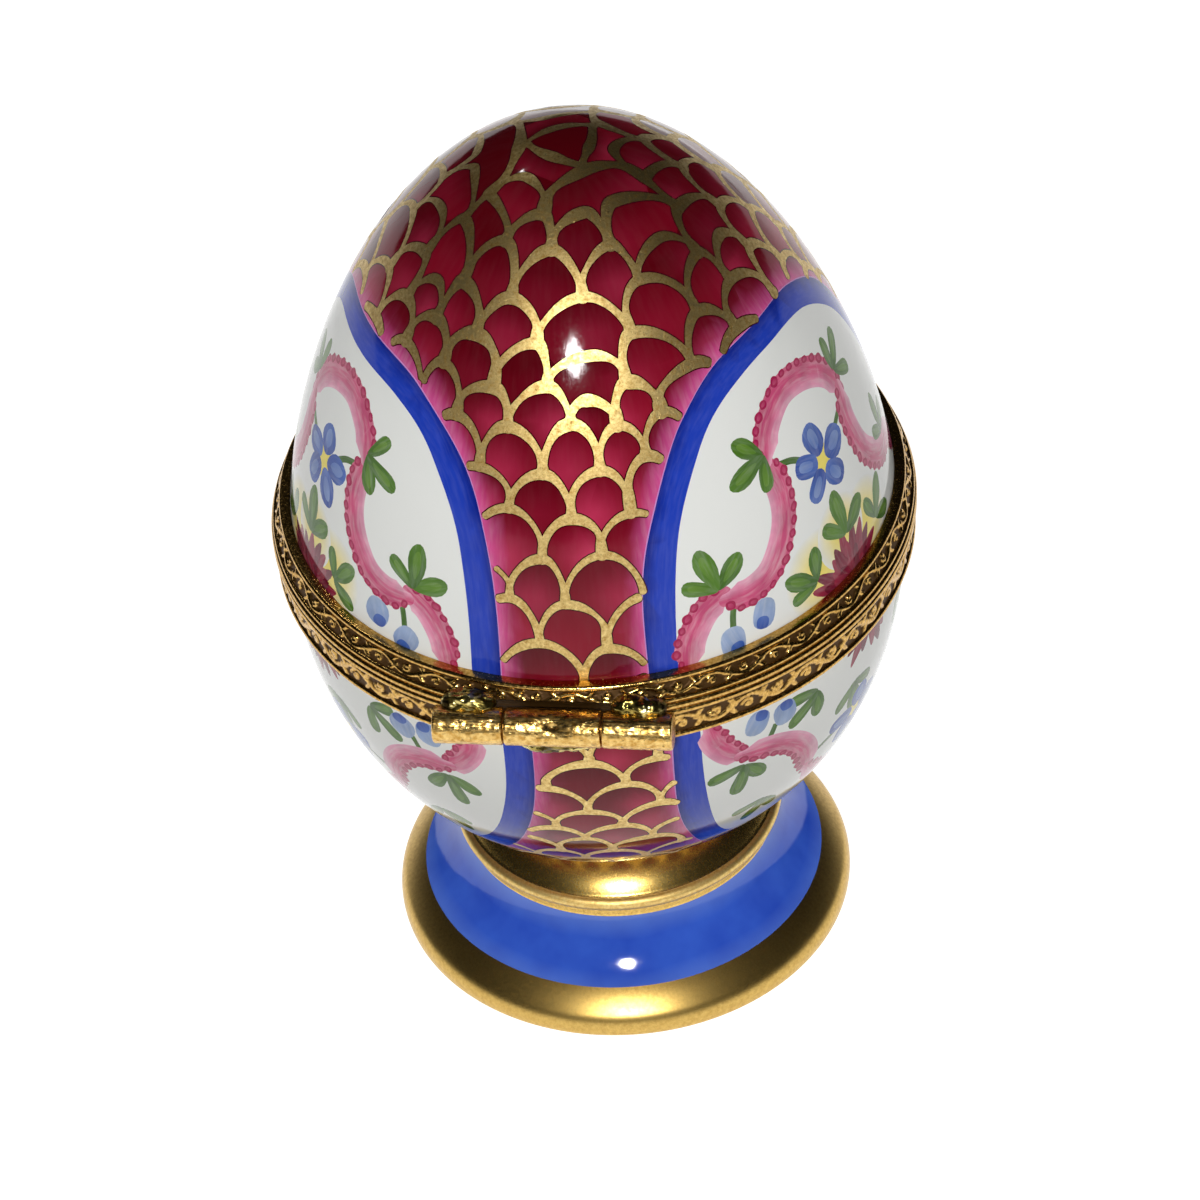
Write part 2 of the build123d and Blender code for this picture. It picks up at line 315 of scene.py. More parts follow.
def run_length(dx, dy):
    """Length along a line, from its steps."""
    return np.concatenate(([0.0], np.cumsum(np.hypot(dx, dy))))


def all_round(outline, columns):
    """The same outline in every column."""
    return np.broadcast_to(outline, (columns, len(outline), 2))


def lathe(paths):
    """Points and faces of outlines of (radius, height) turned round the axis, one for each column.

    Every outline is closed on itself, or starts and ends on the axis.
    """
    columns, count = paths.shape[:2]
    points = turned(paths[..., 0], round_angles(columns)[:, None], paths[..., 1]).reshape(-1, 3)
    on_axis = paths[0, 0, 0] < TOLERANCE
    faces = []
    for column in range(columns):
        here, there = column * count, (column + 1) % columns * count
        for step in range(count - 1 if on_axis else count):
            after = (step + 1) % count
            face = (here + step, there + step, there + after, here + after)
            if on_axis and step == 0:
                face = (0, there + after, here + after)
            elif on_axis and step == count - 2:
                face = (here + step, there + step, count - 1)
            faces.append(face)
    used = sorted({index for face in faces for index in face})
    new = {old: index for index, old in enumerate(used)}
    return points[used], [tuple(new[index] for index in face) for face in faces]


def arc(start, middle, end, steps):
    """Points on the circle through three points, without the last one."""
    a, b, c = (complex(*point) for point in (start, middle, end))
    ratio = (c - a) / (b - a)
    centre = a + (b - a) * (ratio - abs(ratio) ** 2) / (2j * ratio.imag)
    first, mid, last = np.angle([a - centre, b - centre, c - centre])
    sweep = (last - first) % math.tau
    if (mid - first) % math.tau > sweep:
        sweep -= math.tau
    points = centre + (a - centre) * np.exp(1j * sweep * np.arange(steps) / steps)
    return list(zip(points.real, points.imag))


def bowed(start, end, bow, steps):
    """Points on an arc from start to end that bulges to the left by bow, without the last one."""
    a, b = complex(*start), complex(*end)
    middle = (a + b) / 2 + 1j * bow * (b - a) / abs(b - a)
    return arc(start, (middle.real, middle.imag), end, steps)


def straight(start, end, steps):
    """Points on a line, without the last one."""
    return [tuple(np.asarray(start) + (np.asarray(end) - start) * k / steps) for k in range(steps)]


def power_curve(radius, rise, closing, power):
    """Radius at a rise from the seam, on a curve that closes at closing."""
    return radius * np.sqrt(np.maximum(0, 1 - (rise / closing) ** power))


class Shell:
    """One half of the egg: its outline by arc length from the seam, and the outline of its inside."""

    def __init__(self, radius, closing, power, reach, side, bore_closing):
        rise = reach * np.sin(np.linspace(0, math.pi / 2, OUTLINE_STEPS))
        self.side = side
        self.r = power_curve(radius, rise, closing, power)
        self.z = SEAM + side * rise
        self.s = run_length(np.diff(self.r), np.diff(self.z))
        self.rim = np.interp(RIM_LIFT, rise, self.s)
        self.total = self.s[-1]
        self.hub = self.r[-1]
        self.normal_r = side * np.gradient(self.z, self.s)
        self.normal_z = -side * np.gradient(self.r, self.s)
        rise = RIM_LIFT + (bore_closing - RIM_LIFT) * np.sin(np.linspace(0, math.pi / 2, SHELL_ROWS))
        self.bore = joined(power_curve(radius - WALL, rise, bore_closing, power), SEAM + side * rise)

    def radius(self, s):
        return np.interp(s, self.s, self.r)

    def flat(self, phi, s):
        """Where a place lies when the shell is spread out round its pole."""
        return turned(self.hub + self.total - s, phi, 0.0)[:, :2]

    def unflat(self, points):
        """Angle and arc length of spread-out points."""
        phi = np.degrees(np.arctan2(points[:, 0], -points[:, 1]))
        return phi, self.hub + self.total - np.hypot(points[:, 0], points[:, 1])

    def surface(self, phi, s):
        """Points and normals on the outside; past the outline's end they lie on its flat bottom."""
        beyond = np.maximum(0.0, s - self.total)
        normal_r = np.where(beyond > 0, 0.0, np.interp(s, self.s, self.normal_r))
        normal_z = np.where(beyond > 0, self.side, np.interp(s, self.s, self.normal_z))
        points = turned(self.radius(s) - beyond, phi, np.interp(s, self.s, self.z))
        return points, turned(normal_r, phi, normal_z)


class Canvas(Shell):
    """A half of the egg, spread out, and the shapes painted on it, each over those before it."""

    def __init__(self, *outline):
        super().__init__(*outline)
        self.places = [(phi, self.rim) for phi in round_angles(SHELL_COLUMNS)]
        self.lines = []
        self.faces = []
        self.tints = [partial(plain_tint, self, CRIMSON_DARK)]
        self.gilt = [False]
        # Loose points all over, so that colours can fade across a shape
        for s in np.arange(self.rim + PAINT_GRID, self.hub + self.total, PAINT_GRID):
            past = max(0.0, s - self.total)
            count = max(6, round(math.tau * (self.radius(s) - past) / PAINT_GRID))
            self.points(round_angles(count) + GRID_TWIST * s, np.full(count, s))

    def points(self, phi, s):
        """Adds places, held clear of the rim, and gives their numbers."""
        first = len(self.places)
        self.places.extend(zip(phi, np.maximum(s, self.rim + EDGE_MARGIN)))
        return list(range(first, len(self.places)))

    def lay(self, outline, faces, gilt, tint, *settings):
        """One shape, from the numbers of its outline and of the polygons in it."""
        self.lines.extend(zip(outline, outline[1:] + outline[:1]))
        self.faces.extend((list(face), len(self.tints)) for face in faces)
        self.tints.append(partial(tint, self, *settings))
        self.gilt.append(gilt)

    def fill(self, phi, s, tint, *settings):
        """One closed shape."""
        outline = self.points(phi, s)
        self.lay(outline, [outline], False, tint, *settings)

    def strip(self, left, right, gilt, *settings):
        """A stroke between its two edges."""
        first, second = self.points(*left), self.points(*right)
        quads = zip(first, first[1:], second[1:], second)
        self.lay(first + second[::-1], quads, gilt, stroke_tint, *settings)

    def paint(self):
        """Cuts the shapes out of each other: points, triangles, their tints and the rim's points."""
        flat = self.flat(*np.array(self.places).T)
        rim_face = [list(range(SHELL_COLUMNS))]
        found = delaunay_2d_cdt([Vector(p) for p in flat], self.lines, rim_face, 1, TOLERANCE, True)
        spots, triangles = np.array([tuple(p) for p in found[0]]), np.array(found[2])
        centres = spots[triangles].mean(axis=1)
        order = np.argsort(centres[:, 0])
        sorted_x = centres[order, 0]
        owners = np.zeros(len(triangles), dtype=int)
        for face, owner in self.faces:
            polygon = flat[face]
            low, high = polygon.min(axis=0), polygon.max(axis=0)
            near = order[slice(*np.searchsorted(sorted_x, (low[0], high[0])))]
            near = near[(centres[near, 1] >= low[1]) & (centres[near, 1] <= high[1])]
            owners[near[inside(polygon, centres[near])]] = owner
        rim = np.zeros(SHELL_COLUMNS, dtype=int)
        for index, origins in enumerate(found[3]):
            for origin in origins:
                if origin < SHELL_COLUMNS:
                    rim[origin] = index
        return spots, triangles, owners, rim


def inside(polygon, points):
    """Which points a closed polygon holds."""
    held = np.zeros(len(points), dtype=bool)
    x, y = points.T
    for (ax, ay), (bx, by) in zip(polygon, np.roll(polygon, -1, axis=0)):
        if ay != by:
            held ^= ((ay > y) != (by > y)) & (x < (bx - ax) * (y - ay) / (by - ay) + ax)
    return held


def turn(phi, centre):
    """Angle from centre, within half a turn."""
    return (np.asarray(phi) - centre + 180) % 360 - 180


def blend(a, b, share):
    """Colours between a and b for an array of shares."""
    share = np.clip(share, 0, 1)[:, None]
    return a * (1 - share) + b * share


def smooth(low, high, value):
    t = np.clip((np.asarray(value) - low) / (high - low), 0, 1)
    return t * t * (3 - 2 * t)


def coat(colours, thin, *brush):
    """What a tint gives: colours with their thinness, and places in the brush's stroke."""
    return np.column_stack((colours, np.broadcast_to(thin, len(colours)))), joined(*brush)


def local(shell, place, angle, phi, s):
    """Millimetres along and across a direction at a place, with up as the egg stands."""
    x = np.radians(turn(phi, place[0])) * shell.radius(place[1])
    y = (np.asarray(s) - place[1]) * shell.side
    c, d = math.cos(angle), math.sin(angle)
    return x * c + y * d, y * c - x * d


def placed(shell, place, x, y):
    """Angle and arc length of points given in millimetres right and up of a place."""
    s = place[1] + np.asarray(y) * shell.side
    return place[0] + np.degrees(np.asarray(x) / shell.radius(place[1])), s


def curve(points, per_span=8):
    """A smooth line through points, as angles and arc lengths."""
    p = np.array(points, dtype=float)
    p = np.vstack((2 * p[0] - p[1], p, 2 * p[-1] - p[-2]))
    t = np.linspace(0, 1, per_span, endpoint=False)[:, None]
    spans = []
    for a, b, c, d in zip(p, p[1:], p[2:], p[3:]):
        spans.append(b + 0.5 * t * (c - a + t * (2 * a - 5 * b + 4 * c - d + t * (3 * (b - c) + d - a))))
    return np.vstack((*spans, p[-2])).T


def edges(shell, phi, s, half):
    """Both edges of a stroke of that half width along a line."""
    r = shell.radius(s)
    dx, dy = np.gradient(np.radians(phi)) * r, np.gradient(s)
    length = np.maximum(np.hypot(dx, dy), TOLERANCE)
    along, shift = dx / length * half, np.degrees(-dy / length * half / r)
    return (phi + shift, s + along), (phi - shift, s - along)


def capped(shell, phi, s, half):
    """A line carried on past its ends and drawn in there, so that its stroke ends round."""
    bend = np.linspace(0.25, 1, 4) * math.pi / 2
    ends = []
    for last, inner in ((0, 1), (-1, -2)):
        run_phi, run_s = phi[last] - phi[inner], s[last] - s[inner]
        length = math.hypot(math.radians(run_phi) * shell.radius(s[last]), run_s)
        reach = half[last] * np.sin(bend) / length
        ends.append((phi[last] + run_phi * reach, s[last] + run_s * reach, half[last] * np.cos(bend) + 0.01))
    return [np.concatenate((a[::-1], line, b)) for a, line, b in zip(ends[0], (phi, s, half), ends[1])]


def stroke_tint(shell, phi, s, half, colours, thin, at_phi, at_s):
    """A brush stroke: colours from one edge through the middle to the other."""
    left, middle, right = colours
    r = shell.radius(s)
    run = run_length(np.radians(np.diff(phi)) * r[1:], np.diff(s))
    dx = np.radians(turn(at_phi[:, None], phi)) * r
    dy = at_s[:, None] - s
    near = np.argmin(dx * dx + dy * dy, axis=1)
    rows = np.arange(len(near))
    ahead_x, ahead_y = (np.gradient(np.radians(phi)) * r)[near], np.gradient(s)[near]
    across = (ahead_x * dy[rows, near] - ahead_y * dx[rows, near]) / np.hypot(ahead_x, ahead_y)
    share = across / np.broadcast_to(half, len(phi))[near]
    colour = np.where((share > 0)[:, None], blend(middle, left, share), blend(middle, right, -share))
    return coat(colour, thin, run[near], across, phi[0] + s[0])


def dab_tint(shell, place, angle, length, colours, thin, phi, s):
    """One dab of the brush, from the colour at its root to the colour at its tip."""
    along, across = local(shell, place, angle, phi, s)
    return coat(blend(*colours, along / length), thin, along, across, place[0] * 3.1 + place[1] + angle)


def halo_tint(shell, place, reach, phi, s):
    """A soft yellow wash that fades into the white."""
    x, y = local(shell, place, 0.0, phi, s)
    return coat(blend(YELLOW, WHITE, (np.hypot(x, y) / reach) ** 2), 0.05, x, y, 0.0)


def plain_tint(shell, colour, phi, s):
    """One colour all over."""
    x, y = local(shell, (0.0, shell.rim), 0.0, phi, s)
    return coat(np.broadcast_to(colour, (len(x), 3)), 0.0, x, y, 0.0)


BORDER_WIDTH = 2.1


class Reserve(NamedTuple):
    """A white panel with a blue border: a rounded arch that stands on the seam."""

    shell: Shell
    centre: float
    half: float
    height: float
    power: float

    def gap(self, phi, s):
        """Rough distance outside the border's outer edge, in millimetres."""
        x = np.abs(turn(phi, self.centre)) / self.half
        y = np.abs(s) / self.height
        return ((x**self.power + y**self.power) ** (1 / self.power) - 1) * self.height

    def outline(self, inset, wobble, steps=150):
        """The arch taken in by inset, with the unsteadiness of a hand."""
        half = self.half - math.degrees(inset / self.shell.radius(0.5 * self.height))
        height = self.height - inset
        angle = np.linspace(0, math.pi, steps)
        x = np.sign(np.cos(angle)) * np.abs(np.cos(angle)) ** (2 / self.power)
        y = np.abs(np.sin(angle)) ** (2 / self.power)
        shake = np.array([wobble * noise.noise(Vector((self.centre, 2.3 * a, inset))) for a in angle])
        phi = self.centre + half * x * (1 + shake / 20)
        s = height * y * (1 + shake / height)
        seam = np.linspace(phi[-1], phi[0], steps)[1:-1]
        return np.concatenate((phi, seam)), np.concatenate((s, np.zeros(len(seam))))

    def border_tint(self, _, phi, s):
        depth = -self.gap(phi, s) / BORDER_WIDTH
        along = np.arctan2(s / self.height, turn(phi, self.centre) / self.half) * self.height
        colour = blend(BORDER_DARK, BORDER_BLUE, smooth(-0.1, 0.5, depth))
        return coat(colour, 0.03, along, depth * BORDER_WIDTH, self.centre)

    def paint(self, canvas):
        """Border first, then the white panel over it."""
        canvas.fill(*self.outline(-0.08, 0.35), plain_tint, WASH_EDGE)
        canvas.fill(*self.outline(0.0, 0.35), self.border_tint)
        canvas.fill(*self.outline(BORDER_WIDTH, 0.3), plain_tint, WHITE)


def nearest_gap(reserves, phi, s):
    return np.min([reserve.gap(phi, s) for reserve in reserves], axis=0)


def scale_tint(shell, crest, size, mood, reserves, phi, s):
    """One scale's ground: crimson, darkest under its arch, pink by a border, painted shade near the crown."""
    depth, glow, side, seed = mood
    # Painted shade: the lid's upper rows darken and lose their glow towards the crown, where less light falls
    high = 0.6 * smooth(20, 38, shell.side * crest[1])
    x, y = local(shell, crest, 0.0, phi, s)
    low = -y / size
    colour = blend(CRIMSON_DARK, CRIMSON, 0.25 + depth - high + 0.4 * smooth(0.1, 1.1, low))
    bright = glow * (1 - high) * np.exp(-((x / size - side) ** 2) * 4 - (low - 1.0) ** 2 * 4)
    colour = colour + (CRIMSON_LIGHT - colour) * bright[:, None]
    wash = np.exp(-((np.maximum(nearest_gap(reserves, phi, s), 0) / 1.1) ** 2))
    colour = colour + (WASH_PINK - colour) * (0.85 * wash)[:, None]
    return coat(colour, 0.006 + 0.12 * wash, y, x, seed)


# How far scales differ: in depth of colour, glow, the glow's side and their streaks
SCALE_MOODS = ((-0.25, 0.5), (0.0, 1.0), (-0.45, 0.45), (0, 100))
# Scale rows of each half from the top down: arc length of their tops, and scales in a third of a turn
LID_TOPS = (43.3, 41.4, 38.6, 35.3, 31.9, 28.6, 25.5, 22.6, 19.6, 16.1, 12.6, 9.0, 5.5, 2.2, -1.2)
LID_COUNTS = (1, 2, 4, 5, 6, 7, 8) + (9,) * 8
CUP_TOPS = (2.6, 5.7, 8.4, 11.3, 14.0, 16.4, 19.0, 21.8, 24.4, 27.0, 29.6, 32.2, 34.6, 37.0)
CUP_COUNTS = (9,) * len(CUP_TOPS)
LID_START = 4.0
CUP_START = 7.0
SCALE_HIDDEN = -2.5
SCALE_DROP = 1.7
FREE_ROWS = 26
GILT_HALF = 0.33
OUTLINE_EXTRA = 0.09
ARCH_STEPS = 21
SHORTEST_STROKE = 8


def arch_line(crest, feet, draw):
    """Line of a gilt arch: up from its left foot, over the crest and down to its right foot."""
    bend = np.linspace(-1, 1, ARCH_STEPS) * math.pi / 2
    side = (bend > 0).astype(int)
    reach = np.array([turn(foot[0], crest[0]) for foot in feet])
    drop = np.array([foot[1] - crest[1] for foot in feet])
    fall = np.array([draw.uniform(0.6, 0.95) for _ in feet])
    round_over = draw.uniform(1.0, 1.5)
    phi = crest[0] + reach[side] * np.abs(np.sin(bend))
    s = crest[1] + drop[side] * fall[side] * (1 - np.cos(bend) ** round_over)
    stem = np.array([1.0, 0.66, 0.33])
    left = s[0] + (feet[0][1] - s[0]) * stem
    right = s[-1] + (feet[1][1] - s[-1]) * stem[::-1]
    return np.concatenate(([phi[0]] * 3, phi, [phi[-1]] * 3)), np.concatenate((left, s, right))


def lay_scales(tops, counts, start, draw):
    """Crests and gilt lines of the scales, from the top row down; each arch stands on two crests below it.

    A row with fewer scales than the one below steps over some crests, and draws their neighbours together.
    """
    rows = [[[start + 120 * (k + 0.5) / counts[-1], tops[-1]] for k in range(3 * counts[-1])]]
    stands = []
    for top, count in zip(tops[-2::-1], counts[-2::-1]):
        below = rows[-1]
        size = len(below)
        lost = size - 3 * count
        away = start + 60 + (draw.uniform(-60, 60) if top > FREE_ROWS else 0)
        skipped = set()
        for j in range(lost):
            aim = away + 360 * j / lost
            skipped.add(min(range(size), key=lambda i: abs(turn(below[i][0], aim))))
        for i in skipped:
            below[i][1] -= 0.6
            for j in ((i - 1) % size, (i + 1) % size):
                below[j][0] += 0.25 * turn(below[i][0], below[j][0])
        feet = [i for i in range(size) if i not in skipped]
        pairs = list(zip(feet, feet[1:] + feet[:1]))
        middles = [below[a][0] + turn(below[b][0], below[a][0]) / 2 for a, b in pairs]
        row = []
        for k, middle in enumerate(middles):
            even = sum(turn(middles[j % len(middles)], middle) for j in (k - 1, k + 1)) / 4
            shake = draw.uniform(-0.12, 0.12) * 360 / len(middles)
            row.append([middle + even + shake, top + draw.uniform(-0.4, 0.4)])
        rows.append(row)
        stands.append(pairs)
    laid = []
    for below, row, pairs in zip(rows, rows[1:], stands):
        lines = [arch_line(crest, (below[a], below[b]), draw) for crest, (a, b) in zip(row, pairs)]
        laid.append((row, lines))
    return laid[::-1]


def paint_scales(canvas, tops, counts, start, reserves, draw):
    """Fish-scale ground, each row over the feet of the row above; gives the lines of the gilt arches."""
    kept = []
    for row, lines in lay_scales(tops, counts, start, draw):
        for crest, (phi, s) in zip(row, lines):
            span = [0, len(phi) // 2, -1]
            if np.max(nearest_gap(reserves, phi[span], s[span])) < SCALE_HIDDEN:
                continue
            drop = (s[0] + s[-1]) / 2 - crest[1]
            base = [crest[0] + 0.5 * (end - crest[0]) for end in (phi[-1], phi[0])]
            mood = [draw.uniform(*limits) for limits in SCALE_MOODS]
            outline = np.concatenate((phi, base)), np.concatenate((s, [crest[1] + SCALE_DROP * drop] * 2))
            canvas.fill(*outline, scale_tint, crest, abs(drop), mood, reserves)
            kept.append((phi, s))
    return kept


def paint_gilding(canvas, lines, reserves, draw):
    """Gilt arches over a dark outline, each stopped where it meets a panel's border."""
    strokes = []
    for phi, s in lines:
        clear = nearest_gap(reserves, phi, s) > draw.uniform(0.0, 0.5)
        bold = draw.uniform(0.85, 1.2) * (1 + 0.2 * smooth(16, 30, canvas.side * s[len(s) // 2]))
        u = np.linspace(-1, 1, len(phi))
        uneven = np.array([0.22 * noise.noise(Vector((phi[0], s[0], 3.1 * v))) for v in u])
        half = GILT_HALF * bold * (0.9 + 0.24 * np.cos(math.tau * u) + uneven)
        edge = np.flatnonzero(np.diff(np.concatenate(([0], clear.astype(int), [0]))))
        for first, last in zip(edge[::2], edge[1::2]):
            if last - first > SHORTEST_STROKE:
                strokes.append(capped(canvas, phi[first:last], s[first:last], half[first:last]))
    for extra, colour, gilt in ((OUTLINE_EXTRA, OUTLINE_MAROON, False), (0.0, GOLD, True)):
        for phi, s, half in strokes:
            wide = half + extra
            canvas.strip(*edges(canvas, phi, s, wide), gilt, phi, s, wide, (colour,) * 3, 0.0)


# Garland in a panel: places are degrees from the panel's middle towards the hinge, and arc lengths. A ribbon
# has its line and its beaded edge, a leaf its place, heading and size, a bud its place and heading
LID_GARLAND = {
    "ribbons": [
        ([(40.6, 2.2), (39.3, 4.6), (36.0, 6.6), (31.5, 7.6)], -1),
        ([(31.6, 7.0), (26.0, 6.9), (20.5, 7.9), (15.6, 10.6), (14.2, 13.2), (15.4, 16.0)], 1),
        ([(15.2, 15.8), (12.0, 18.0), (4.5, 19.5), (-4.0, 19.2), (-11.5, 17.6), (-15.2, 15.0)], -1),
        ([(-14.6, 15.4), (-12.5, 12.6), (-14.5, 9.4), (-21.0, 7.0), (-29.0, 6.2), (-36.0, 3.0)], 1),
    ],
    "leaves": [
        (15.4, 16.4, -18, 1.0),
        (32.6, 8.0, 82, 1.05),
        (0.5, 5.9, 92, 1.1),
        (11.0, 4.3, 40, 0.95),
        (-16.0, 16.6, 150, 0.95),
        (-26.0, 7.4, 95, 0.95),
        (-10.5, 4.0, 130, 0.95),
    ],
    "buds": [(24.2, 4.5, 110), (31.3, 3.3, 70)],
    "stems": [
        [(31.0, 4.4), (30.6, 5.6), (29.6, 7.0)],
        [(5.6, 13.8), (9.0, 14.6), (12.8, 15.0)],
        [(-5.4, 13.4), (-8.6, 14.0), (-12.6, 14.6)],
    ],
    "flower": (0.8, 12.6),
}
CUP_GARLAND = {
    "ribbons": [
        ([(41.0, 3.6), (39.9, 5.4), (37.4, 7.0), (34.4, 8.0)], -1),
        ([(35.0, 8.0), (28.2, 8.4), (22.6, 9.8), (18.6, 12.2), (16.4, 15.4)], 1),
        ([(16.8, 15.0), (10.0, 18.2), (0.0, 19.4), (-10.0, 18.2), (-16.8, 15.0)], -1),
        ([(-16.4, 15.4), (-18.6, 12.2), (-22.6, 9.8), (-28.2, 8.4), (-38.0, 6.0)], 1),
    ],
    "leaves": [
        (33.8, 9.3, -78, 1.05),
        (17.5, 5.2, -40, 1.0),
        (6.0, 8.0, -100, 1.0),
        (27.0, 16.2, -70, 0.95),
        (-24.0, 12.0, -120, 0.95),
        (-12.0, 5.4, -140, 0.95),
    ],
    "buds": [(25.5, 5.3, -80), (31.5, 5.0, -60)],
    "stems": [[(27.5, 6.0), (29.0, 7.6)], [(8.0, 12.6), (15.0, 13.4)]],
    "flower": (3.0, 12.6),
}
MUM = (1.5, 1.6)
MUM_HALOES = ((3.4, 3.2, 3.6), (-3.4, 3.2, 3.6), (0.0, 4.8, 3.0))
MUM_RINGS = (4.5, 3.5, 2.3)
LEAF_LOBES = ((-58, 3.1, 1.32), (56, 2.9, 1.24), (2, 3.7, 1.42))
RIBBON_HALF = 1.2
BEAD_SPACING = 1.02
BEAD_EDGE = 0.84
BEAD_CLEARANCE = 1.2
STEM_HALF = 0.26
DAB_STEPS = 18


def dab(canvas, place, angle, length, width, colours, thin=0.15, taper=0.3, heart=None):
    """A petal or leaf lobe along an angle from its root, with a heart of another colour over it."""
    t = np.linspace(0, math.tau, DAB_STEPS, endpoint=False)
    c, d = math.cos(angle), math.sin(angle)
    uneven = 1 + 0.14 * np.sin(2 * t + place[0] + 5 * angle)
    tones = [(colours, 0.0, 1.0, 1.0)] + ([(heart, 0.22, 0.62, 0.45)] if heart else [])
    for tone, start, long, wide in tones:
        along = length * (start + long / 2 * (1 - np.cos(t)))
        across = wide * width / 2 * np.sin(t) * (1 - taper * np.cos(t)) * uneven
        phi, s = placed(canvas, place, along * c - across * d, along * d + across * c)
        canvas.fill(phi, s, dab_tint, place, angle, length, tone, thin)


def beside(canvas, place, angle, reach):
    """The place that lies some millimetres from another along an angle."""
    return placed(canvas, place, reach * math.cos(angle), reach * math.sin(angle))


def paint_ribbon(canvas, line, dotted, draw):
    """A length of twisted ribbon, drawn in at its ends, with beads of deeper pink along one edge."""
    phi, s = curve(line)
    step = np.arange(len(phi))
    half = RIBBON_HALF * np.clip((np.minimum(step, step[::-1]) + 2) / 6, 0.45, 1)
    sides = (RIBBON_PINK, RIBBON_PINK, RIBBON_PALE)
    colours = sides if dotted > 0 else sides[::-1]
    for share in (-0.5, 0.0, 0.5):
        canvas.points(*edges(canvas, phi, s, half * share)[0])
    canvas.strip(*edges(canvas, *capped(canvas, phi, s, half)), False, phi, s, half, colours, 0.3)
    edge_phi, edge_s = edges(canvas, phi, s, half * BEAD_EDGE)[0 if dotted > 0 else 1]
    step_x, step_y = np.radians(np.diff(edge_phi)) * canvas.radius(edge_s[1:]), np.diff(edge_s)
    run = run_length(step_x, step_y)
    for where in np.arange(0.4, run[-1], BEAD_SPACING):
        at = np.interp(where, run, edge_phi), np.interp(where, run, edge_s)
        if at[1] < canvas.rim + BEAD_CLEARANCE:
            continue
        k = min(int(np.searchsorted(run, where)), len(step_x)) - 1
        lean = math.atan2(canvas.side * step_y[k], step_x[k]) + draw.uniform(-0.3, 0.3)
        size = draw.uniform(0.72, 0.95)
        root = beside(canvas, at, lean, -size / 2)
        tones = (RIBBON_EDGE, RIBBON_EDGE), 0.05, 0.0, (RIBBON_PINK, RIBBON_EDGE)
        dab(canvas, root, lean, size, size * 0.8, *tones)


def paint_leaf(canvas, place, angle, size, draw):
    """Three lobes from one root."""
    for spread, length, width in LEAF_LOBES:
        lean = math.radians(angle + spread + draw.uniform(-9, 9))
        tone = draw.choice(((LEAF_DARK, LEAF_GREEN), (LEAF_GREEN, LEAF_GREEN), (LEAF_DARK, LEAF_GREEN)))
        dab(canvas, place, lean, length * size, width * size, tone, 0.12, 0.35, (LEAF_GREEN, LEAF_PALE))


def paint_bud(canvas, place, angle):
    """A pale blue bud, darker at its eye."""
    lean = math.radians(angle)
    root = beside(canvas, place, lean, -1.3)
    dab(canvas, root, lean, 2.6, 2.3, (PETAL_PALE, BUD_PALE), 0.2, 0.0)
    dab(canvas, root, lean, 1.1, 1.3, (PETAL_DARK, PETAL_BLUE), 0.05, 0.0)


def paint_flower(canvas, place, draw):
    """Five blue petals round a yellow eye."""
    dab(canvas, beside(canvas, place, 0.0, -1.3), 0.0, 2.6, 2.6, (YELLOW, YELLOW), 0.05, 0.0)
    for k in range(5):
        lean = math.radians(90 + 72 * k + draw.uniform(-8, 8))
        tone = (PETAL_BLUE, PETAL_DARK) if k % 2 else (PETAL_DARK, PETAL_BLUE)
        length, width = draw.uniform(2.55, 3.1), draw.uniform(1.95, 2.3)
        root = beside(canvas, place, lean, 0.55)
        dab(canvas, root, lean, length, width, tone, 0.12, 0.05, (PETAL_BLUE, PETAL_PALE))


def paint_mum(canvas, place, draw):
    """A shaggy purple-red bloom that the mount cuts in half, in a yellow haze."""
    t = np.linspace(0, math.tau, 28, endpoint=False)
    for x, y, reach in MUM_HALOES:
        middle = placed(canvas, place, x, y)
        ring = placed(canvas, middle, reach * np.cos(t), reach * np.sin(t))
        canvas.fill(*ring, halo_tint, middle, reach)
    for ring, reach in enumerate(MUM_RINGS):
        for k in range(11 - 2 * ring):
            lean = math.radians(5 + 170 * k / (10 - 2 * ring) + draw.uniform(-5, 5)) * canvas.side
            tone = (MUM_DARK, MUM_RED) if (k + ring) % 2 else (MUM_RED, MUM_DARK)
            dab(canvas, place, lean, reach * draw.uniform(0.85, 1.15), 1.35, tone, 0.1, -0.3)


def paint_garland(canvas, centre, side, draw, ribbons, leaves, buds, stems, flower):
    """Ribbon, leaves, buds, flower and bloom of one panel, turned over where side is -1."""

    def at(phi, s):
        return (centre + side * phi, s)

    def heading(angle):
        return angle if side > 0 else 180 - angle

    paint_mum(canvas, at(*MUM), draw)
    for line in stems:
        phi, s = curve([at(*spot) for spot in line])
        colours = (LEAF_DARK, LEAF_GREEN, LEAF_DARK)
        canvas.strip(*edges(canvas, phi, s, STEM_HALF), False, phi, s, STEM_HALF, colours, 0.1)
    for line, dotted in ribbons:
        paint_ribbon(canvas, [at(*spot) for spot in line], dotted * side * canvas.side, draw)
    for phi, s, angle, size in leaves:
        paint_leaf(canvas, at(phi, s), heading(angle), size, draw)
    for phi, s, angle in buds:
        paint_bud(canvas, at(phi, s), heading(angle))
    paint_flower(canvas, at(*flower), draw)


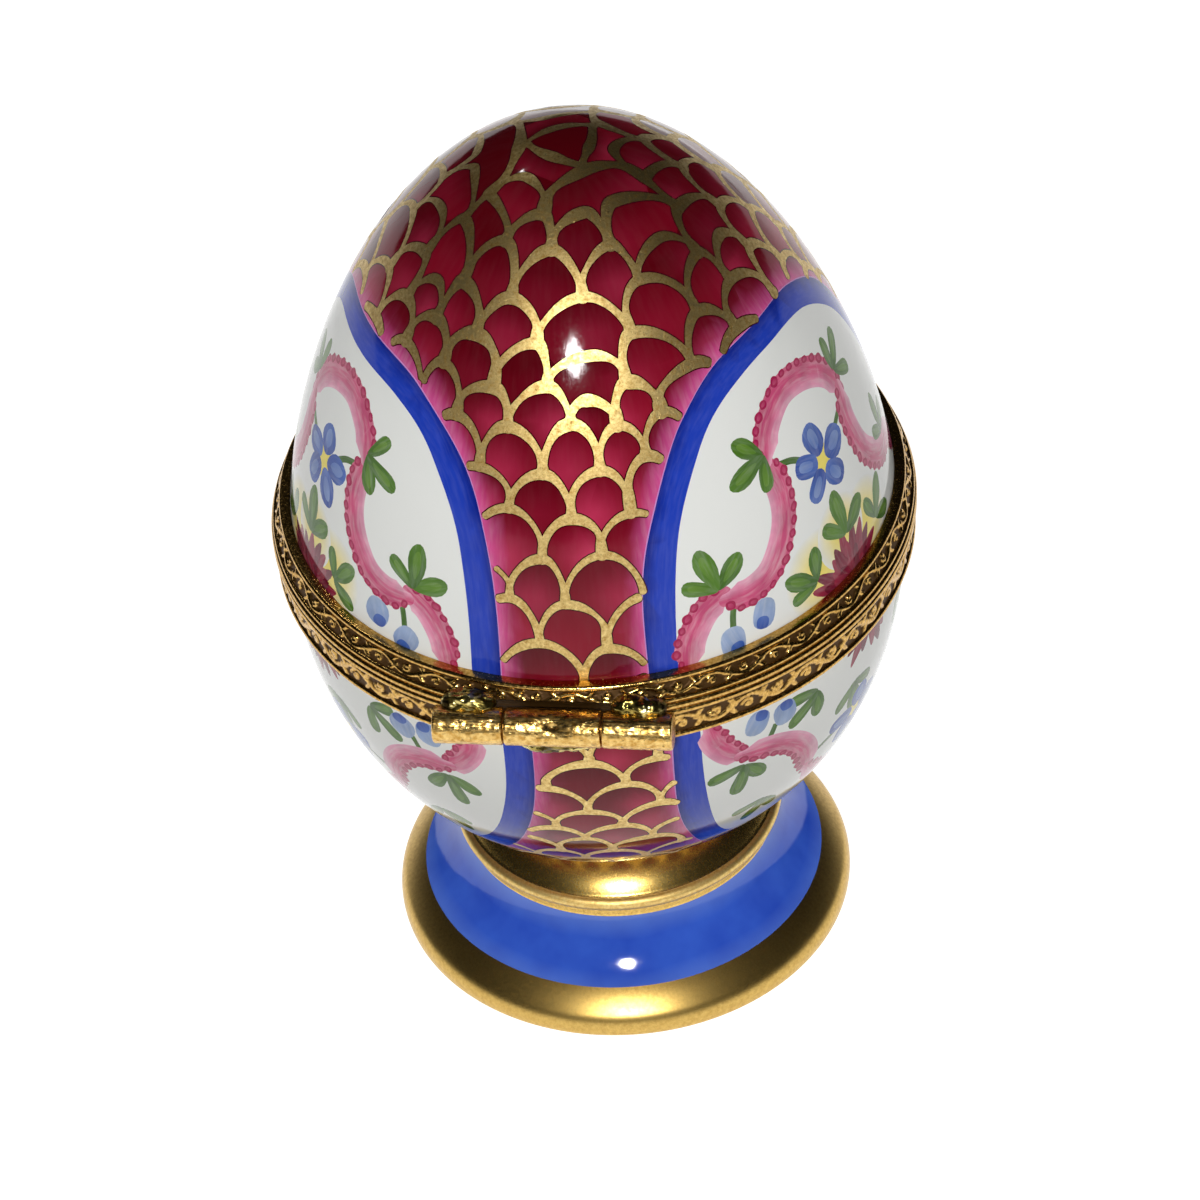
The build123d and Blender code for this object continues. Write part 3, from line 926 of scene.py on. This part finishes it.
def dress_shell(node, body, canvas, materials):
    """The painted outside joined at the rim to the plain inside."""
    flat, triangles, owners, rim = canvas.paint()
    phi, s = canvas.unflat(flat)
    points, normals = canvas.surface(phi, s)
    first = len(points)
    rings = [turned(r, round_angles(SHELL_COLUMNS), z) for r, z in canvas.bore[:-1]]
    pole = first + SHELL_COLUMNS * len(rings)
    points = np.vstack((points, *rings, [[0.0, 0.0, canvas.bore[-1][1]]]))
    loops = [rim, *np.arange(first, pole).reshape(-1, SHELL_COLUMNS), np.full(SHELL_COLUMNS, pole)]
    faces = triangles.tolist()
    for outer, inner in zip(loops, loops[1:]):
        for quad in zip(np.roll(outer, -1), outer, inner, np.roll(inner, -1)):
            faces.append([int(index) for index in dict.fromkeys(quad)])
    if canvas.side < 0:
        faces = [face[::-1] for face in faces]
    face_materials = np.full(len(faces), 2)
    face_materials[: len(triangles)] = np.array(canvas.gilt)[owners]
    piece = build(node, "painted", body, points, faces, materials, 60.0, face_materials)
    mesh = piece.data
    corner_points = np.concatenate(faces)
    corner_owner = np.repeat(owners, 3)
    paint = np.ones((len(corner_points), 4), dtype=np.float32)
    brush = np.zeros((len(corner_points), 3), dtype=np.float32)
    order = np.argsort(corner_owner, kind="stable")
    bounds = np.searchsorted(corner_owner[order], np.arange(len(canvas.tints) + 1))
    for tint, start, end in zip(canvas.tints, bounds, bounds[1:]):
        chosen = order[start:end]
        if len(chosen):
            spots = corner_points[chosen]
            paint[chosen], brush[chosen] = tint(phi[spots], s[spots])
    mesh.attributes.new("paint", "FLOAT_COLOR", "CORNER").data.foreach_set("color", paint.ravel())
    mesh.attributes.new("brush", "FLOAT_VECTOR", "CORNER").data.foreach_set("vector", brush.ravel())
    kept = np.zeros((len(points), 3))
    kept[:first] = normals
    mesh.normals_split_custom_set_from_vertices([tuple(v) for v in kept])


# Panels of each half: middle and half width in degrees, height, and squareness of the arch
LID_PANELS = ((-61.0, 51.0, 24.5, 3.0), (65.0, 48.0, 25.0, 2.75), (183.0, 49.0, 24.7, 2.9))
CUP_PANELS = ((-57.0, 52.0, 26.0, 2.8), (68.0, 48.0, 27.0, 3.2), (186.0, 49.0, 26.5, 3.0))
PANEL_SIDES = (1, -1, 1)
LID_SEED = 11
CUP_SEED = 23


def paint_half(canvas, scales, panels, garland, seed):
    """Everything painted on one half of the egg."""
    draw = random.Random(seed)
    reserves = [Reserve(canvas, *panel) for panel in panels]
    lines = paint_scales(canvas, *scales, reserves, draw)
    for reserve in reserves:
        reserve.paint(canvas)
    paint_gilding(canvas, lines, reserves, draw)
    for reserve, side in zip(reserves, PANEL_SIDES):
        paint_garland(canvas, reserve.centre, side, draw, **garland)


lid = Canvas(LID_RADIUS, LID_HEIGHT, LID_RISE, LID_HEIGHT, 1, LID_HEIGHT - WALL)
cup = Canvas(CUP_RADIUS, CUP_HEIGHT + CUP_FLAT, CUP_RISE, CUP_HEIGHT, -1, CUP_HEIGHT - CUP_FLOOR)
paint_half(lid, (LID_TOPS, LID_COUNTS, LID_START), LID_PANELS, LID_GARLAND, LID_SEED)
paint_half(cup, (CUP_TOPS, CUP_COUNTS, CUP_START), CUP_PANELS, CUP_GARLAND, CUP_SEED)
white_glaze = glaze_material()
painted_gilding = gilding_material("painted_gilding", shades("E2C988", "AD8947"), 0.4, (0.34, 0.55), 0.6)
shell_materials = [enamel_material(), painted_gilding, white_glaze]
dress_shell("lid_shell", "lid", lid, shell_materials)
dress_shell("lower_cup", "base", cup, shell_materials)

# Foot: stretches of its outline from the seat of the cup out to the table and back under to the axis, each
# with its start, finish, bow to the left and steps
FOOT_COLUMNS = 256
FOOT_STRETCHES = {
    "seat": ((0.0, SEAT), "satin", 0.0, 1),
    "waist": ((cup.hub, SEAT), "polished", 0.6, 18),
    "lip": ((12.78, 10.21), "rubbed", 0.57, 12),
    "collar": ((12.78, 9.06), "polished", 0.0, 4),
    "flare": ((12.78, 8.16), "blue", -0.45, 28),
    "slope": ((16.36, 3.65), "satin", 0.06, 14),
    "shoulder": ((18.05, 2.3), "satin", 0.2, 14),
    "rim": ((18.6, 0.7), "satin", 0.2, 10),
    "foot_ring": ((17.9, 0.0), "bare", 0.0, 3),
    "recess": ((15.9, 0.0), "bare", 0.45, 14),
    "recess_top": ((10.18, 9.0), "bare", 0.0, 1),
    "recess_middle": ((0.0, 9.0), "bare", 0.0, 1),
}


def dress_foot():
    """The moulded foot, turned from stretches of outline that each have their finish."""
    finishes = {
        "satin": gilding_material("satin_gilding", shades("D6B466", "BC9850"), 0.1, (0.3, 0.4), 0.12),
        "rubbed": gilding_material("rubbed_gilding", shades("F2D68C", "D6AE60"), 0.1, (0.42, 0.58), 0.25),
        "polished": gilding_material("polished_gilding", shades("EAC670", "CCA456"), 0.1, (0.22, 0.3), 0.12),
        "blue": foot_glaze_material(),
        "bare": white_glaze,
    }
    stretches = list(FOOT_STRETCHES.values())
    outline, slots = [], []
    for (start, finish, bow, steps), (end, *_) in zip(stretches, stretches[1:] + stretches[:1]):
        outline += bowed(start, end, bow, steps) if bow else straight(start, end, steps)
        slots += [list(finishes).index(finish)] * steps
    points, faces = lathe(all_round(outline, FOOT_COLUMNS))
    face_slots = slots[:-1] * FOOT_COLUMNS
    materials = finishes.values()
    build("pedestal_foot", "painted", "base", points, faces, materials, 50.0, face_slots)


dress_foot()

# Bezels: outlines by radius and distance from the seam, from the inner flange round the outside
VINE_REPEATS = 29
VINE_COLUMNS = 38
BAND_ROWS = 16
BAND_FADE = 8
RELIEF = 0.2
MOUNT_SHARP = 40.0
GROOVE_RADIUS = 1.95
GROOVE_LENGTH = 18.8
GROOVE_COLUMNS = 96
RIDGE_RADIUS = 0.3
RIDGE_FOOT = RING_RADIUS - RIDGE_RADIUS
RIDGE_TOP = 2 * RIDGE_RADIUS
LINE_RIDGE = (RING_RADIUS - 0.15, 0.8)
ROLL_RADIUS = 0.25
WEB = 0.6
BORE_FIT = 0.06
FLANGE_WALL = 0.5
FLANGE_HEIGHT = 2.2
UPPER_BAND = ((24.55, 1.0), (23.95, 2.1))
UPPER_LAP = 23.355
UPPER_FLANGE = 20.69
LOWER_BAND = ((24.6, RIDGE_TOP), (24.6, 2.5))
LOWER_FLANGE = 21.52


def vine_lines(period, height):
    """Lines of one repeat of the scrolling vine, each with its half width: stem, curls and leaf ribs."""
    x = np.linspace(-0.5, 1.5, 161) * period
    lines = [(joined(x, 0.33 * height * np.sin(math.tau * x / period)), 0.1 * height + 0.08)]
    for crest, side in ((-0.25, -1), (0.25, 1), (0.75, -1), (1.25, 1)):
        winding = np.linspace(0, 1.3 * math.tau, 60)
        reach = 0.27 * height * (1 - 0.13 * winding)
        heading = math.pi * 0.95 - winding
        curl_y = side * (-0.12 * height + reach * np.sin(heading))
        lines.append((joined(crest * period + reach * np.cos(heading), curl_y), 0.06 * height + 0.07))
        t = np.linspace(0, 1, 20)
        for shift in (-0.19, 0.2):
            leaf_x = (crest + shift + 0.1 * t * np.sign(shift)) * period
            lines.append((joined(leaf_x, side * (0.02 + 0.42 * t) * height), 0.09 * height + 0.08))
    return lines


def vine_relief(period, height):
    """Relief from 0 in the ground to 1 on the crests, over one repeat."""
    x = np.arange(VINE_COLUMNS) * period / VINE_COLUMNS
    y = (np.arange(BAND_ROWS) / (BAND_ROWS - 1) - 0.5) * height
    grid = joined(*np.meshgrid(x, y, indexing="ij")).reshape(-1, 1, 2)
    relief = np.zeros(len(grid))
    for line, half in vine_lines(period, height):
        away = np.min(np.linalg.norm(grid - line, axis=-1), axis=1)
        relief = np.maximum(relief, np.sqrt(np.maximum(0, 1 - (away / half) ** 2)))
    return relief.reshape(VINE_COLUMNS, BAND_ROWS)


def cut_groove(piece):
    """Takes the hinge's groove out of a mount."""
    size = {"radius": GROOVE_RADIUS * MM, "depth": GROOVE_LENGTH * MM}
    bpy.ops.mesh.primitive_cylinder_add(vertices=GROOVE_COLUMNS, **size)
    cutter = bpy.context.object
    place = Matrix.Translation((0, HINGE_Y * MM, SEAM * MM))
    cutter.matrix_world = place @ Matrix.Rotation(math.pi / 2, 4, "Y")
    bpy.context.view_layer.update()
    cut = piece.modifiers.new("groove", "BOOLEAN")
    cut.operation = "DIFFERENCE"
    cut.solver = "MANIFOLD"
    cut.object = cutter
    ready = piece.evaluated_get(bpy.context.evaluated_depsgraph_get())
    mesh = bpy.data.meshes.new_from_object(ready)
    piece.modifiers.clear()
    piece.data = mesh
    mesh.set_sharp_from_angle(angle=math.radians(MOUNT_SHARP))
    bpy.data.objects.remove(cutter)


def dress_bezel(node, body, side, line, band, lap, bore, flange, material):
    """A mount turned from its outline, chased along its band and cut away round the hinge."""
    (start_r, start_z), (end_r, end_z) = band
    top = end_z + 2 * ROLL_RADIUS
    before = straight((flange - FLANGE_WALL, 0.0), (RIDGE_FOOT, 0.0), 4)
    before += arc((RIDGE_FOOT, 0.0), (RING_RADIUS, RIDGE_RADIUS), (RIDGE_FOOT, RIDGE_TOP), 10) + line
    after = arc((end_r, end_z), (end_r + ROLL_RADIUS, end_z + ROLL_RADIUS), (end_r, top), 9)[1:]
    after += [(end_r, top), (lap, top), (bore, WEB), (flange, WEB), (flange, FLANGE_HEIGHT)]
    after.append((flange - FLANGE_WALL, FLANGE_HEIGHT))
    columns = VINE_REPEATS * VINE_COLUMNS
    height = math.hypot(end_r - start_r, end_z - start_z)
    period = math.tau * (start_r + end_r) / 2 / VINE_REPEATS
    angles = np.arange(columns) * math.tau / columns
    spots = [Vector((6 * math.cos(a), 6 * math.sin(a), side * end_z)) for a in angles]
    raised = np.array([0.85 + 0.3 * noise.noise(spot) for spot in spots])
    rows = np.linspace(0, 1, BAND_ROWS)
    fade = np.minimum(1, np.minimum(rows, 1 - rows) * BAND_FADE)
    relief = np.tile(vine_relief(period, height), (VINE_REPEATS, 1)) * fade
    stand = RELIEF * relief * raised[:, None]
    chased_r = start_r + (end_r - start_r) * rows + stand * (end_z - start_z) / height
    chased_z = start_z + (end_z - start_z) * rows + stand * (start_r - end_r) / height
    chased = joined(chased_r, chased_z)
    paths = np.concatenate((all_round(before, columns), chased, all_round(after, columns)), axis=1)
    paths[..., 1] = SEAM + side * paths[..., 1]
    heights = np.ones(paths.shape[:2])
    heights[:, len(before) : len(before) + BAND_ROWS] = relief
    points, faces = lathe(paths)
    if side < 0:
        faces = [face[::-1] for face in faces]
    piece = build(node, "chased", body, points, faces, [material], MOUNT_SHARP)
    piece.data.attributes.new("relief", "FLOAT", "POINT").data.foreach_set("value", heights.ravel())
    cut_groove(piece)


brass = mount_material()
line_ridge = arc((RIDGE_FOOT, RIDGE_TOP), LINE_RIDGE, UPPER_BAND[0], 8)
upper_bore, lower_bore = LID_RADIUS + BORE_FIT, CUP_RADIUS + BORE_FIT
dress_bezel("upper_bezel", "lid", 1, line_ridge, UPPER_BAND, UPPER_LAP, upper_bore, UPPER_FLANGE, brass)
ridge_end = [(RIDGE_FOOT, RIDGE_TOP)]
dress_bezel("lower_bezel", "base", -1, ridge_end, LOWER_BAND, lower_bore, lower_bore, LOWER_FLANGE, brass)

# Hinge barrels and solder, turned round the hinge's own line
BARREL_RADIUS = 1.45
BARREL_ROUND = 0.15
BARREL_WORN = 0.05
BARREL_COLUMNS = 128
BARREL_STEP = 0.1
HAMMER_DEPTH = 0.075
HAMMER_FINENESS = 2.1
PIN_BORE = 0.64
STAKE_TURN = math.radians(225)
STAKE_RADIUS = 0.55
STAKE_DEPTH = 0.22
DENT_RADIUS = 1.1
DENT_DEPTH = 0.36
SOLDER_RADIUS = 1.2
SOLDER_COLUMNS = 64
SOLDER_FINENESS = 0.8
SOLDER_STEPS = 45
hinge_brass = hinge_material()
solder = solder_material()
cement = cement_material()


def along_hinge(paths, y, z):
    """Outlines of (radius, place along X) turned round a line along X."""
    points, faces = lathe(paths)
    return joined(points[:, 2], y + points[:, 0], z + points[:, 1]), faces


def dents(columns, x, fine):
    """Hammer marks over a barrel, from 0 to about 1: columns by places along it."""
    marks = np.zeros((columns, len(x)))
    for column in range(columns):
        a = column * math.tau / columns
        for k, place in enumerate(x):
            spot = Vector((place, BARREL_RADIUS * math.sin(a), BARREL_RADIUS * math.cos(a))) * fine
            marks[column, k] = 0.5 + 0.5 * noise.noise(spot) + 0.3 * noise.noise(spot * 2.7)
    return np.clip(marks, 0, 1)


def dress_barrel(node, body):
    """A hammered knuckle; the middle one is dented in round its stake mark."""
    low, high = (corner.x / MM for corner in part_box(node))
    x = np.linspace(low + BARREL_ROUND, high - BARREL_ROUND, round((high - low) / BARREL_STEP))
    sunk = HAMMER_DEPTH * dents(BARREL_COLUMNS, x, HAMMER_FINENESS)
    if body == "base":
        a = np.arange(BARREL_COLUMNS) * math.tau / BARREL_COLUMNS
        aside = BARREL_RADIUS * ((a - STAKE_TURN + math.pi) % math.tau - math.pi)
        away = np.hypot(aside[:, None], x)
        sunk += STAKE_DEPTH * np.maximum(0, 1 - away / STAKE_RADIUS)
        sunk += DENT_DEPTH * np.exp(-((away / DENT_RADIUS) ** 2))
    shoulder = BARREL_RADIUS - BARREL_ROUND - BARREL_WORN
    bend = np.radians([20.0, 45.0, 70.0])
    rounded = BARREL_ROUND * joined(np.cos(bend), np.sin(bend)) + (shoulder, high - BARREL_ROUND)
    last = [*rounded, (shoulder, high), (PIN_BORE, high)]
    first = [(r, low + high - place) for r, place in last[::-1]]
    ends = [all_round(end, BARREL_COLUMNS) for end in (first, last)]
    paths = np.concatenate((ends[0], joined(BARREL_RADIUS - sunk, x), ends[1]), axis=1)
    points, faces = along_hinge(paths, HINGE_Y, SEAM)
    build(node, "hammered", body, points, faces, [hinge_brass], 45.0)


def dress_solder(node, body):
    """A lump of solder that ran unevenly into the corner between a knuckle and its mount."""
    low, high = (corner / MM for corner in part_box(node))
    z = low.z + SOLDER_RADIUS if body == "lid" else high.z - SOLDER_RADIUS
    t = np.linspace(-1, 1, SOLDER_STEPS)
    x = (low.x + high.x) / 2 + (high.x - low.x) / 2 * t
    lumps = 0.6 + 0.4 * dents(SOLDER_COLUMNS, x, SOLDER_FINENESS)
    radius = SOLDER_RADIUS * lumps * np.sqrt(1 - np.abs(t) ** 3)
    points, faces = along_hinge(joined(radius, x), low.y + SOLDER_RADIUS, z)
    build(node, "run", body, points, faces, [solder], 60.0)


for place, body in (("centre", "base"), ("left", "lid"), ("right", "lid")):
    dress_barrel("hinge_knuckle_" + place, body)
for place, body in (("left", "lid"), ("right", "lid"), ("centre", "base")):
    dress_solder("hinge_solder_" + place, body)

# Solids shown as they are
NODE_MATERIALS = {
    "hinge_pin": hinge_brass,
    "catch_bead": hinge_brass,
    "clasp_tongue": hinge_brass,
    "upper_bezel_cement": cement,
    "lower_bezel_cement": cement,
}
for node_name, node_material in NODE_MATERIALS.items():
    frame["nodes"][node_name].material_slots[0].material = node_material

# Camera of the photograph: focal length and picture point in pixels, others in mm and degrees
PICTURE = 1200
FOCAL = 4830.0
AXIS_PIXEL = (593.82, 502.29)
AXIS_HEIGHT = 41.0
DISTANCE = 374.25
ELEVATION = 40.91
AZIMUTH = 9.88
ROLL = -4.99
SENSOR = 36.0


def rotation(axis, degrees):
    return Matrix.Rotation(math.radians(degrees), 4, axis)


def add_camera():
    """Looks at the egg so that its axis point falls on its pixel."""
    side, drop = ((pixel - PICTURE / 2) / FOCAL for pixel in AXIS_PIXEL)
    facing = rotation("Z", AZIMUTH) @ rotation("X", 90 - ELEVATION)
    place = (Vector((0, 0, AXIS_HEIGHT)) + facing.col[2].xyz * DISTANCE) * MM
    yaw = Matrix.Rotation(math.atan(side), 4, "Y")
    pitch = Matrix.Rotation(math.atan(drop / math.hypot(1, side)), 4, "X")
    camera = bpy.data.objects.new("camera", bpy.data.cameras.new("camera"))
    bpy.context.scene.collection.objects.link(camera)
    camera.matrix_world = Matrix.Translation(place) @ facing @ rotation("Z", ROLL) @ yaw @ pitch
    camera.data.sensor_width = SENSOR
    camera.data.lens = FOCAL * SENSOR / PICTURE
    camera.data.clip_start = 0.01
    bpy.context.scene.camera = camera


def floor_material():
    """White paper that stays white to the camera and keeps the shadow."""
    n = new_material("white_paper")
    fibre = n.noise(0.4, 4.0)
    path = n.add("LightPath").outputs
    seen = n.math("ADD", path["Is Camera Ray"], path["Is Glossy Ray"])
    seen = n.math("MINIMUM", n.math("ADD", seen, path["Is Transmission Ray"]), 1.0)
    return n.surface(
        Base_Color=n.mix(fibre, *shades("B4B4B2", "AAAAA8")),
        Roughness=0.9,
        Normal=n.bump(fibre, 0.05, 0.2),
        Emission_Color=np.ones(3),
        Emission_Strength=n.math("MULTIPLY", seen, FLOOR_GLOW),
    )


def add_stage():
    """A pale floor on the table's plane."""
    bpy.ops.mesh.primitive_plane_add(size=FLOOR_SIZE)
    floor = bpy.context.object
    floor.name = "floor"
    floor.data.materials.append(floor_material())


def add_light(name, place, size, power, mirrored):
    """A round lamp, placed in millimetres and turned to the egg."""
    lamp = bpy.data.lights.new(name, "AREA")
    lamp.shape = "DISK"
    lamp.size = size * MM
    lamp.energy = power
    holder = bpy.data.objects.new(name, lamp)
    bpy.context.scene.collection.objects.link(holder)
    holder.location = Vector(place) * MM
    aim = (Vector(EGG_MIDDLE) - Vector(place)).normalized()
    holder.rotation_euler = aim.to_track_quat("-Z", "Y").to_euler()
    holder.visible_glossy = mirrored


def add_world(front, back, ceiling):
    """A grey room, brighter on the camera's side and dimmer overhead."""
    n = Nodes(bpy.data.worlds.new("room"), "Background")
    facing = n.add("SeparateXYZ", {0: n.add("TexCoord").outputs["Generated"]}).outputs
    level = n.between(facing["Y"], -0.9, 0.6, front, back)
    overhead = n.between(facing["Z"], 0.0, 1.0, 1.0, ceiling)
    bpy.context.scene.world = n.surface(Strength=n.math("MULTIPLY", level, overhead))


# Light of the room on the camera's side, behind the egg and overhead
ROOM = (0.55, 0.24, 0.4)
FLOOR_SIZE = 3.0
FLOOR_GLOW = 0.96

# Lamps: place, size, power, and whether it shows as a highlight
EGG_MIDDLE = (0.0, 0.0, 45.0)
LAMPS = {
    "key": ((26.0, -262.0, 236.0), 46.0, 0.72, True),
    "key_small": ((30.0, -272.0, 280.0), 16.0, 0.08, True),
    "far_lamp": ((-252.0, 270.0, 520.0), 24.0, 0.1, True),
    "left_fill": ((-330.0, 30.0, 45.0), 200.0, 0.3, False),
    "right_fill": ((330.0, 30.0, 45.0), 200.0, 0.3, False),
    "back_fill": ((30.0, 350.0, 45.0), 200.0, 0.9, False),
}
add_camera()
add_stage()
for lamp_name, settings in LAMPS.items():
    add_light(lamp_name, *settings)
add_world(*ROOM)
bpy.context.scene.view_settings.view_transform = "Standard"
